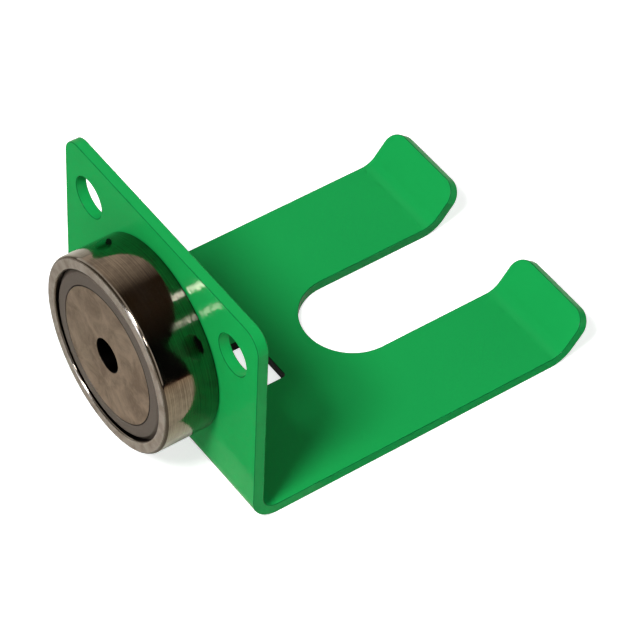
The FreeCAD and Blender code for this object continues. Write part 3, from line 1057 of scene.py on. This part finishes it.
    def edge_and_shade_mark(self, point: OutlinePoint, turn: float) -> float:
        """Tells how dark a point of a rounded edge is drawn.

        Args:
            point: The point of the outline.
            turn: The turn from facing outwards, in radians.

        Returns:
            1 in the middle of a rounding, which is a dark line, less on the outer walls and the
            slot's, which is painted shade, and 0 on a face.
        """
        slot_start = self.stations()[1] - self.outer_bend + self.slot_end
        beside_slot = abs(point.across) < self.slot_width / 2 + AT_WALL
        in_slot = beside_slot and point.along > slot_start - AT_WALL
        on_edge = abs(point.across) > self.width / 2 - AT_WALL
        wall = self.slot_wall_shade if in_slot else self.outer_wall_shade if on_edge else 0.0
        return max(math.sin(2 * abs(turn)), wall * math.cos(turn))

    def face_sheet(
        self,
        outlines: Sequence[Sequence[OutlinePoint]],
        loops: Sequence[Sequence[int]],
        pairs: Sequence[tuple[int, int]],
        flipped: bool,
    ) -> list[tuple[int, ...]]:
        """Fills one face of the sheet between its rounded edges.

        Args:
            outlines: The outer edge and the holes on the flat sheet.
            loops: The mesh points on the inner side of each rounded edge.
            pairs: Points of the outer edge that a bend's divisions run between.
            flipped: Whether the face looks out of the sheet's outer side.

        Returns:
            The faces, in mesh points.
        """
        inner = [
            [Vector(point.inset(self.edge_radius)) for point in outline] for outline in outlines
        ]
        flat: list[Vector] = []
        owner: list[int] = []
        edges: list[tuple[int, int]] = []
        for places, loop in zip(inner, loops):
            first = len(flat)
            count = len(places)
            flat += places
            owner += list(loop)
            edges += [(first + index, first + (index + 1) % count) for index in range(count)]
        edges += list(pairs)
        spots, _, cells, origins, _, _ = delaunay_2d_cdt(
            flat, edges, [], TRIANGLES_INSIDE, FILL_TOLERANCE
        )
        filled = []
        for cell in cells:
            middle = sum((spots[index] for index in cell), Vector((0.0, 0.0))) / len(cell)
            if any(lies_within(middle, hole) for hole in inner[1:]):
                continue
            corners = [owner[origins[index][0]] for index in cell]
            filled.append(tuple(reversed(corners)) if flipped else tuple(corners))
        return filled


@dataclass
class TurnedPart:
    """A piece turned about the magnet's axis from a section with rounded corners."""

    name: str
    node: str
    slot: Slot
    section: tuple[Corner, ...]
    finish: Finish
    segments: int = 240
    arc_step_deg: float = 15.0

    def build(self) -> bpy.types.Object:
        """Turns the section about the Y axis.

        Returns:
            The piece, in place of the plain solid.
        """
        outline = trace_outline(self.section, self.arc_step_deg)
        places: list[Vector] = []
        normals: list[Vector] = []
        count = len(outline)
        for segment in range(self.segments):
            turn = 2 * math.pi * segment / self.segments
            cosine, sine = math.cos(turn), math.sin(turn)
            for point in outline:
                places.append(Vector((point.across * cosine, point.along, point.across * sine)))
                normals.append(
                    Vector((point.out_across * cosine, point.out_along, point.out_across * sine))
                )
        faces = []
        for segment in range(self.segments):
            here, there = segment * count, (segment + 1) % self.segments * count
            for index in range(count):
                following = (index + 1) % count
                faces.append((here + index, here + following, there + following, there + index))
        piece = mesh_piece(self.name, places, normals, faces)
        piece.data.materials.append(self.finish.material())
        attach(piece, BODY)
        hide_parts(self.node)
        return piece


@dataclass
class PotMagnet:
    """The steel pot, the ring magnet in it and the resin that holds it."""

    cup_radius: float = 24.3
    cup_height: float = 14.4
    mouth_radius: float = 21.1
    floor_depth: float = 8.4
    tapped_radius: float = 4.05
    face_rounding: float = 1.0
    back_rounding: float = 0.5
    mouth_rounding: float = 0.6
    magnet_radius: float = 17.2
    bore_radius: float = 4.25
    recess: float = 0.5
    magnet_edge: float = 0.25
    resin_gap: float = 0.05
    groove: float = 1.1
    small_edge: float = 0.03
    shoulder: float = 0.9

    def cup(self) -> TurnedPart:
        """Draws the pot's section: rim, recess, floor, tapped bore and back.

        Returns:
            The pot, ready to turn.
        """
        section = (
            Corner(self.mouth_radius, 0.0, self.mouth_rounding),
            Corner(self.cup_radius, 0.0, self.face_rounding),
            Corner(self.cup_radius, self.cup_height, self.back_rounding),
            Corner(self.tapped_radius, self.cup_height, self.small_edge),
            Corner(self.tapped_radius, self.floor_depth, self.small_edge),
            Corner(self.mouth_radius, self.floor_depth, self.small_edge),
        )
        return TurnedPart("magnet_pot", "magnet_cup", Slot.NICKEL, section, TurnedNickel())

    def magnet(self) -> TurnedPart:
        """Draws the ring magnet's section, a little below the rim.

        Returns:
            The magnet, ready to turn.
        """
        section = (
            Corner(self.bore_radius, self.recess, self.magnet_edge),
            Corner(self.magnet_radius, self.recess, self.magnet_edge),
            Corner(self.magnet_radius, self.floor_depth, self.small_edge),
            Corner(self.bore_radius, self.floor_depth, self.small_edge),
        )
        return TurnedPart("ring_magnet", "magnet_disc", Slot.MAGNET, section, GroundNickel())

    def resin(self) -> TurnedPart:
        """Draws the resin's section, which drew back from the rim as it set.

        Returns:
            The resin, ready to turn.
        """
        inner = self.magnet_radius + self.resin_gap
        outer = self.mouth_radius - self.resin_gap
        section = (
            Corner(inner, self.recess, self.small_edge),
            Corner(outer - self.groove, self.recess, self.shoulder),
            Corner(outer, self.recess + self.groove, self.small_edge),
            Corner(outer, self.floor_depth, self.small_edge),
            Corner(inner, self.floor_depth, self.small_edge),
        )
        return TurnedPart("resin_ring", "potting_ring", Slot.RESIN, section, PottingResin())

    def build(self) -> list[bpy.types.Object]:
        """Makes the three turned pieces."""
        return [self.cup().build(), self.magnet().build(), self.resin().build()]


@dataclass
class Fasteners:
    """The screw and the two washers that hold the magnet to the plate."""

    nodes: tuple[str, ...] = ("fixing_screw", "plain_washer", "lock_washer")
    finish: Finish = field(default_factory=ZincPlate)

    def build(self) -> list[bpy.types.Object]:
        """Gives the solids, whose shape is right as it is, their plated finish.

        Returns:
            The screw and the washers.
        """
        material = self.finish.material()
        pieces = []
        for name in self.nodes:
            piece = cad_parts[name]
            for place in piece.material_slots:
                place.material = material
            pieces.append(piece)
        return pieces


# ---------------------------------------------------------------------------
# Studio
# ---------------------------------------------------------------------------


def level(left: float, right: float, near: float, far: float, height: float) -> tuple[Place, ...]:
    """Gives the corners of a level board."""
    return (left, near, height), (right, near, height), (right, far, height), (left, far, height)


def upright(left: float, right: float, along: float, foot: float, top: float) -> tuple[Place, ...]:
    """Gives the corners of a board that stands across the Y axis."""
    return (left, along, foot), (right, along, foot), (right, along, top), (left, along, top)


@dataclass(frozen=True)
class Softbox:
    """A lamp that looks at the object from a distance."""

    name: str
    direction: tuple[float, float, float]
    distance_m: float
    width_m: float
    power_w: float
    colour: str = WHITE

    def build(self, target: Vector) -> bpy.types.Object:
        """Hangs the lamp and turns it to the target.

        Args:
            target: The point that it looks at, in metres.

        Returns:
            The lamp.
        """
        lamp = bpy.data.lights.new(self.name, "AREA")
        lamp.shape = "DISK"
        lamp.size = self.width_m
        lamp.energy = self.power_w
        lamp.color = linear(self.colour)[:3]
        holder = add_object(self.name, lamp)
        way = Vector(self.direction).normalized()
        holder.location = target + way * self.distance_m
        holder.rotation_mode = "QUATERNION"
        holder.rotation_quaternion = (-way).to_track_quat("-Z", "Y")
        return holder


@dataclass(frozen=True)
class Board:
    """A board that stands in the studio only for what the shiny metal shows.

    Its places are in metres. Its colour changes along X, from one end of the fade to the other,
    and where it catches light it shows the lamps and the object's shade besides its own glow.
    """

    name: str
    corners: tuple[Place, ...]
    colour: str
    far_colour: str | None = None
    glow: float = 1.0
    fade: Span = (0.0, 1.0)
    catches_light: bool = False

    def build(self) -> bpy.types.Object:
        """Stands the board up, hidden from all but reflections.

        Returns:
            The board.
        """
        mesh = bpy.data.meshes.new(self.name)
        mesh.from_pydata(list(self.corners), [], [tuple(range(len(self.corners)))])
        board = add_object(self.name, mesh)
        material = bare_material(self.name)
        tree = material.node_tree
        where = add_node(tree, "ShaderNodeTexCoord").outputs["Object"]
        parts = add_node(tree, "ShaderNodeSeparateXYZ", {"Vector": where}).outputs
        share = add_node(tree, "ShaderNodeMapRange", {
            "Value": parts["X"], "From Min": self.fade[0], "From Max": self.fade[1],
        }).outputs["Result"]
        ends = linear(self.colour), linear(self.far_colour or self.colour)
        colour = add_node(tree, "ShaderNodeMix", {
            MIX_FACTOR: share, MIX_FIRST: ends[0], MIX_SECOND: ends[1],
        }, data_type="RGBA").outputs[MIX_RESULT]
        shader = add_node(tree, "ShaderNodeEmission", {"Color": colour, "Strength": self.glow})
        if self.catches_light:
            lit = add_node(tree, "ShaderNodeBsdfDiffuse", {"Color": colour})
            both = {0: lit.outputs[0], 1: shader.outputs[0]}
            shader = add_node(tree, "ShaderNodeAddShader", both)
        add_node(tree, "ShaderNodeOutputMaterial", {"Surface": shader.outputs[0]})
        mesh.materials.append(material)
        for ray in ("camera", "diffuse", "transmission", "volume_scatter", "shadow"):
            setattr(board, f"visible_{ray}", False)
        return board


@dataclass(frozen=True)
class PhotoCamera:
    """The camera that took the photograph, found from the object's own edges."""

    place_mm: tuple[float, float, float] = (448.49, -284.94, 592.13)
    right: tuple[float, float, float] = (0.578823, 0.814724, 0.034474)
    forward: tuple[float, float, float] = (-0.536196, 0.412112, -0.736653)
    focal_pixels: float = 3564.35
    sensor_mm: float = 36.0
    clip_m: Span = (0.01, 100.0)

    def build(self) -> bpy.types.Object:
        """Makes the camera and hands it to the scene.

        Returns:
            The camera.
        """
        lens = bpy.data.cameras.new("photo_camera")
        lens.sensor_width = self.sensor_mm
        lens.lens = self.focal_pixels * self.sensor_mm / PHOTO_PIXELS
        lens.clip_start, lens.clip_end = self.clip_m
        holder = add_object("photo_camera", lens)
        right, forward = Vector(self.right).normalized(), Vector(self.forward).normalized()
        up = right.cross(forward)
        turned = Matrix((right, up, -forward)).transposed().to_4x4()
        holder.matrix_world = Matrix.Translation(Vector(self.place_mm) * MM) @ turned
        bpy.context.scene.camera = holder
        return holder


@dataclass
class Studio:
    """The white floor, the soft light round the object and the photograph's camera."""

    floor_radius_m: float = 8.0
    floor_colour: str = "#E6E6E6"
    floor_lift: float = 0.7
    floor_gap_m: float = 0.00005
    sky_colour: str = WHITE
    sky_strength: float = 0.27
    board_height_m: float = 0.0004
    wall_back_m: float = 1.5
    wall_top_m: float = 5.0
    softboxes: tuple[Softbox, ...] = (
        Softbox("key_softbox", (0.19, -0.56, 0.81), distance_m=1.3, width_m=0.34, power_w=15.2),
        Softbox("front_lamp", (0.58, -0.39, 0.71), distance_m=1.1, width_m=0.06, power_w=0.25),
    )

    def seen_ray(self, tree: bpy.types.NodeTree) -> bpy.types.NodeSocket:
        """Tells the rays that show the background from those that light the object.

        Args:
            tree: The node tree of the floor or the world.

        Returns:
            An output that is 1 for camera, glossy and transmission rays, and 0 for others.
        """
        path = add_node(tree, "ShaderNodeLightPath").outputs
        seen = add_node(tree, "ShaderNodeMath", {
            0: path["Is Camera Ray"], 1: path["Is Glossy Ray"],
        }, operation="ADD").outputs["Value"]
        return add_node(tree, "ShaderNodeMath", {
            0: seen, 1: path["Is Transmission Ray"],
        }, operation="ADD", use_clamp=True).outputs["Value"]

    def lay_floor(self, height: float) -> bpy.types.Object:
        """Lays the white floor, which keeps the object's soft shadow.

        Args:
            height: Its height in metres.

        Returns:
            The floor.
        """
        reach = self.floor_radius_m
        mesh = bpy.data.meshes.new("studio_floor")
        corners = level(-reach, reach, -reach, reach, height)
        mesh.from_pydata(list(corners), [], [tuple(range(len(corners)))])
        floor = add_object("studio_floor", mesh)
        material = bare_material("white_paper_floor")
        tree = material.node_tree
        lift = add_node(tree, "ShaderNodeMath", {
            0: self.seen_ray(tree), 1: self.floor_lift,
        }, operation="MULTIPLY").outputs["Value"]
        paper = add_node(tree, "ShaderNodeBsdfDiffuse", {"Color": linear(self.floor_colour)})
        glow = add_node(tree, "ShaderNodeEmission", {"Color": linear(WHITE), "Strength": lift})
        both = add_node(tree, "ShaderNodeAddShader", {0: paper.outputs[0], 1: glow.outputs[0]})
        add_node(tree, "ShaderNodeOutputMaterial", {"Surface": both.outputs[0]})
        mesh.materials.append(material)
        return floor

    def light_sky(self) -> None:
        """Makes the world: white where it is seen, and a plain soft light elsewhere."""
        world = bpy.data.worlds.new("studio_sky")
        bpy.context.scene.world = world
        world.use_nodes = True
        tree = world.node_tree
        tree.nodes.clear()
        strength = add_node(tree, "ShaderNodeMapRange", {
            "Value": self.seen_ray(tree), "To Min": self.sky_strength, "To Max": 1.0,
        }).outputs["Result"]
        colour = linear(self.sky_colour)
        sky = add_node(tree, "ShaderNodeBackground", {"Color": colour, "Strength": strength})
        add_node(tree, "ShaderNodeOutputWorld", {"Surface": sky.outputs[0]})

    def boards(self, floor_height: float) -> tuple[Board, ...]:
        """Lists the boards that the shiny pieces show.

        Args:
            floor_height: The floor's height in metres.

        Returns:
            A grey table top with three paler parts on it, the dark room beyond its right edge,
            its back wall in two halves, the bright card, the lamp card and the side card in
            front of the object, the grey wall far in front, and the shade behind the left hole.
        """
        top = floor_height + self.board_height_m
        under = floor_height + self.board_height_m / 2
        over = top + self.board_height_m / 4
        back, peak = self.wall_back_m, self.wall_top_m
        lamp = "#F2F5FF"
        sandy = {"far_colour": "#C8B8A4", "glow": 0.55, "fade": (0.05, 0.3), "catches_light": True}
        bright = ((-0.2, -1.1, 0.03), (0.14, -1.1, 0.03), (0.36, -1.02, 0.9), (-0.12, -1.02, 0.9))
        lit = ((0.17, -0.44, 0.9), (0.27, -0.44, 0.88), (0.27, -0.34, 0.92), (0.17, -0.34, 0.94))
        side = ((0.6, -0.46, 0.7), (0.68, -0.46, 0.64), (0.7, -0.4, 0.74), (0.62, -0.4, 0.8))
        left_wall = upright(-5.0, -0.2, back, under, peak)
        right_wall = upright(-0.2, 5.0, back, under, peak)
        by_magnet = level(0.02, 0.4, 0.007, 0.034, over)
        on_right = level(0.05, 0.4, 0.034, 1.5, over)
        on_left = level(-4.0, 0.02, 0.007, 1.5, over)
        table = level(-4.0, 0.4, -4.0, 1.5, top)
        room = level(-6.0, 6.0, -6.0, 6.0, under)
        return (
            Board("grey_table", table, "#8C8781", glow=0.0, catches_light=True),
            Board("table_beside_magnet", by_magnet, "#CBC8BB", **sandy),
            Board("table_right", on_right, "#CBC8BB", **sandy),
            Board("table_left", on_left, "#D8D6CB", glow=0.3, catches_light=True),
            Board("dark_room", room, "#4A120A", "#050607", glow=1.6, fade=(0.4, 0.62)),
            Board("wall_left", left_wall, "#B9AFA5", "#33291F", glow=1.6, fade=(-2.9, -0.95)),
            Board("wall_right", right_wall, "#33291F", "#0A0C0C", glow=1.6, fade=(0.8, 2.9)),
            Board("bright_card", bright, "#E3ECFF", glow=4.0),
            Board("lamp_card", lit, lamp, glow=90.0),
            Board("side_card", side, lamp, glow=70.0),
            Board("grey_front", upright(-5.0, 5.0, -back, under, peak), "#5A544B"),
            Board("shade_behind_hole", upright(-0.046, -0.03, 0.0178, 0.006, 0.026), "#14301F"),
        )

    def build(self) -> None:
        """Sets the studio up round the object."""
        low, high = CAD_BOX
        target = (low + high) / 2
        self.lay_floor(low.z - self.floor_gap_m)
        self.light_sky()
        for softbox in self.softboxes:
            softbox.build(target)
        for board in self.boards(low.z):
            board.build()
        PhotoCamera().build()


def main() -> None:
    """Builds the dressed object and its studio, and reports each piece."""
    logging.basicConfig(level=logging.INFO, format="%(name)s: %(message)s")
    bpy.context.scene.view_settings.view_transform = "Standard"
    pieces = [ForkBracket().build(), *PotMagnet().build(), *Fasteners().build()]
    for piece in pieces:
        LOG.info("%s: %d faces", piece.name, len(piece.data.polygons))
    Studio().build()


if __name__ == "__main__":
    main()
